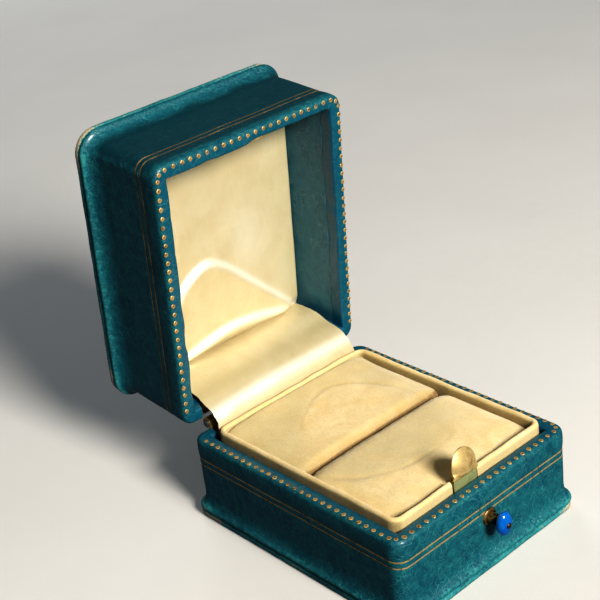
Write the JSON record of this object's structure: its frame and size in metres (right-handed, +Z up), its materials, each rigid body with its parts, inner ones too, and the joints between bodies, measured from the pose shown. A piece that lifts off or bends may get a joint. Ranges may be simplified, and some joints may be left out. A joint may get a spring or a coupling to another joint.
{
  "type": "ring box",
  "caption": "Hinged leather ring box with a push-button catch, velvet ring pads in the base and a padded satin panel in the lid, shown open.",
  "frame": {"origin": "centre of the face that the base stands on", "axes": "+Z up, -Y towards the front with the push button, +X to the right seen from the front"},
  "size_m": [0.0552, 0.0926, 0.0856],
  "materials": {
    "leather": "teal crushed-grain leather, waxed, worn pale on the edges",
    "wood": "plain basswood, unseen",
    "card": "grey-brown pasteboard, unseen",
    "lining_paper": "teal leather-grained paper",
    "velvet": "cream velvet with a short pile",
    "satin": "cream silk satin, glossy",
    "brass": "aged brass",
    "steel": "drawn steel wire",
    "bead_glass": "polished opaque blue glass"
  },
  "bodies": {
    "base": {"base_core": "wood", "base_leather": "leather", "base_floor": "card", "base_bottom_board": "wood", "base_bottom_leather": "leather", "collar_velvet": "velvet", "collar_card": "card", "ring_pad_front": "velvet", "ring_pad_rear": "velvet", "pad_block_front": "card", "pad_block_rear": "card", "hinge_leaf_base": "brass", "hinge_pin": "steel", "hinge_spring": "steel", "satin_hinge_cover": "satin", "button_ferrule": "brass", "catch_pin_1": "brass", "catch_pin_2": "brass", "hinge_tack_base_1": "brass", "hinge_tack_base_2": "brass", "hinge_tack_base_3": "brass"},
    "lid": {"lid_core": "wood", "lid_leather": "leather", "lid_top_board": "wood", "lid_top_leather": "leather", "lid_lining": "lining_paper", "satin_panel": "satin", "panel_board": "card", "hinge_leaf_lid": "brass", "keeper_plate": "brass", "keeper_pin_1": "brass", "keeper_pin_2": "brass", "hinge_tack_lid_1": "brass", "hinge_tack_lid_2": "brass", "hinge_tack_lid_3": "brass"},
    "button": {"button_stem": "brass", "button_bead": "bead_glass", "bead_pin": "brass"},
    "catch": {"catch_leaf": "brass"}
  },
  "joints": [
    {"name": "lid_hinge", "type": "hinge", "parent": "base", "child": "lid", "pos_m": [0, 0.032, 0.0196], "axis": [1, 0, 0], "range_deg": [0, 86.1], "stiffness_Nm_per_rad": 0.004, "springref_deg": -17.19, "deforming": ["hinge_spring", "satin_hinge_cover"]},
    {"name": "button_push", "type": "slide", "parent": "base", "child": "button", "axis": [0, 1, 0], "range_m": [0, 0.00055], "stiffness_N_per_m": 400},
    {"name": "catch_flex", "type": "hinge", "parent": "base", "child": "catch", "pos_m": [0, -0.0269, 0.0054], "axis": [-1, 0, 0], "range_deg": [0, 5.5]}
  ],
  "couplings": [
    {"joint": "catch_flex", "follows": "button_push", "rad_per_m": 158.73}
  ]
}
